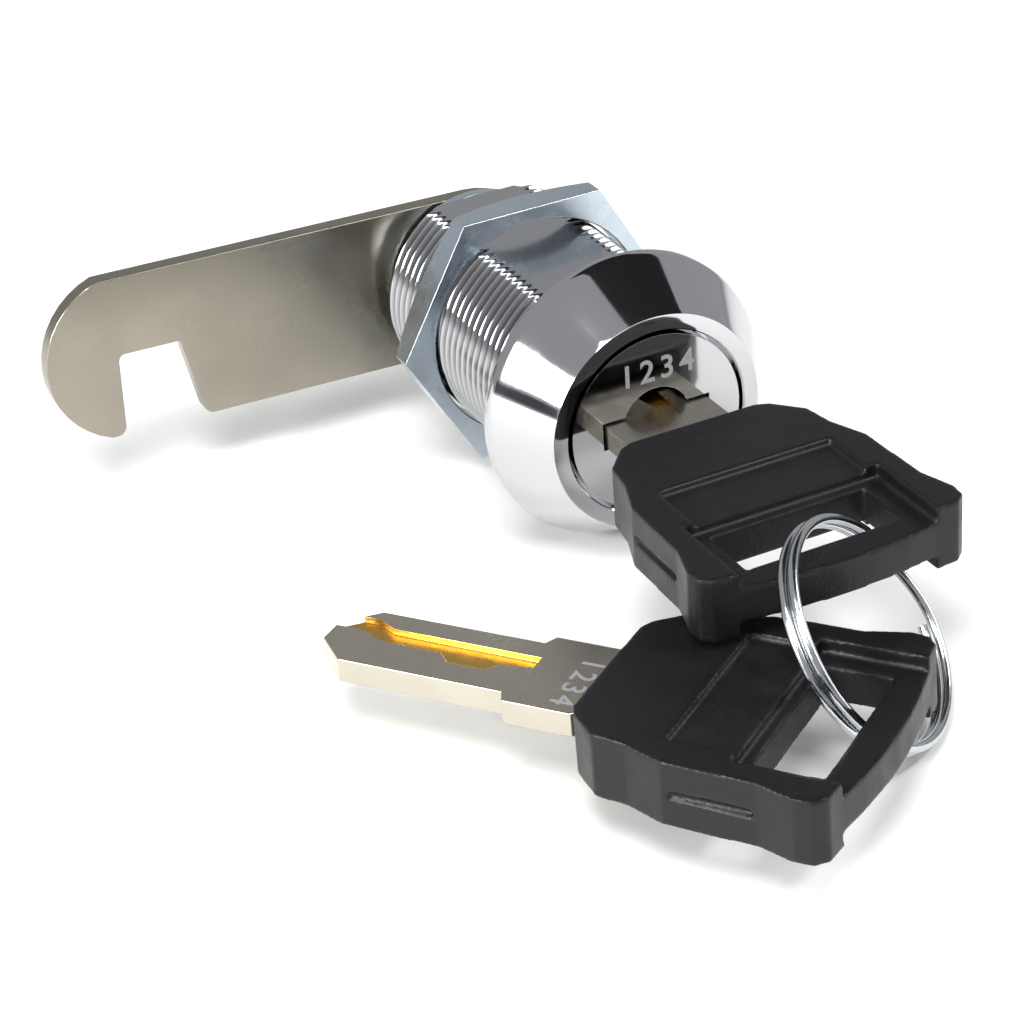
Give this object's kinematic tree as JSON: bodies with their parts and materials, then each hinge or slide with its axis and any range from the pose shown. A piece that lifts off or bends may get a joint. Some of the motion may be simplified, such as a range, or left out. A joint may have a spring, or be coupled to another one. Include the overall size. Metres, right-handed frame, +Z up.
{
  "type": "cam lock",
  "caption": "Threaded cam lock with a conical head, keyed plug, flat hook cam and clamp nut, with its flat key inserted and a second key on a split ring.",
  "frame": {"origin": "centre of the head's seat plane, which rests on the front of the panel", "axes": "+Y along the lock axis into the cabinet, +X to the right seen from the front, the cam points along -X, +Z up"},
  "size_m": [0.0524, 0.0861, 0.0248],
  "materials": {
    "chrome": "bright chrome plating on a zinc casting",
    "blue_zinc": "blue-white zinc plating on steel",
    "nickel": "satin nickel plating on steel",
    "key_metal": "nickel-plated brass with cut grooves in bare brass",
    "brass": "bare machined brass",
    "spring_steel": "bright drawn wire",
    "black_plastic": "fine-textured moulded plastic"
  },
  "bodies": {
    "barrel": {"housing": "chrome"},
    "nut": {"clamp_nut": "blue_zinc"},
    "plug": {"plug": "chrome", "wafer_spring_1": "spring_steel", "wafer_spring_2": "spring_steel", "wafer_spring_3": "spring_steel", "wafer_spring_4": "spring_steel", "wafer_spring_5": "spring_steel", "wafer_spring_6": "spring_steel", "stop_washer": "blue_zinc", "cam": "nickel", "lock_washer": "blue_zinc", "cam_screw": "blue_zinc"},
    "right_wafers": {"wafer_1": "brass", "wafer_3": "brass", "wafer_5": "brass"},
    "left_wafers": {"wafer_2": "brass", "wafer_4": "brass", "wafer_6": "brass"},
    "key": {"key_1_blade": "key_metal", "key_1_head": "black_plastic"},
    "ring": {"split_ring": "spring_steel"},
    "spare_key": {"key_2_blade": "key_metal", "key_2_head": "black_plastic"}
  },
  "joints": [
    {"name": "plug_turn", "type": "hinge", "parent": "barrel", "child": "plug", "pos_m": [0, 0, 0], "axis": [0, 1, 0], "range_deg": [0, 90]},
    {"name": "nut_travel", "type": "slide", "parent": "barrel", "child": "nut", "axis": [0, 1, 0], "range_m": [-0.013, 0.0075]},
    {"name": "key_pull", "type": "slide", "parent": "plug", "child": "key", "axis": [0, -1, 0], "range_m": [0, 0.026]},
    {"name": "right_wafer_slide", "type": "slide", "parent": "plug", "child": "right_wafers", "axis": [1, 0, 0], "range_m": [0, 0.0008]},
    {"name": "left_wafer_slide", "type": "slide", "parent": "plug", "child": "left_wafers", "axis": [-1, 0, 0], "range_m": [0, 0.0008]},
    {"name": "ring_swing", "type": "hinge", "parent": "key", "child": "ring", "pos_m": [0, -0.0329, 0], "axis": [1, 0, 0], "range_deg": [-35, 4]},
    {"name": "spare_swing", "type": "hinge", "parent": "ring", "child": "spare_key", "pos_m": [0.00064, -0.03598, -0.00422], "axis": [0.5476, -0.6064, 0.5765], "range_deg": [-3, 60]}
  ],
  "couplings": [
    {"joint": "right_wafer_slide", "follows": "key_pull", "ratio": 0.03},
    {"joint": "left_wafer_slide", "follows": "key_pull", "ratio": 0.03}
  ]
}
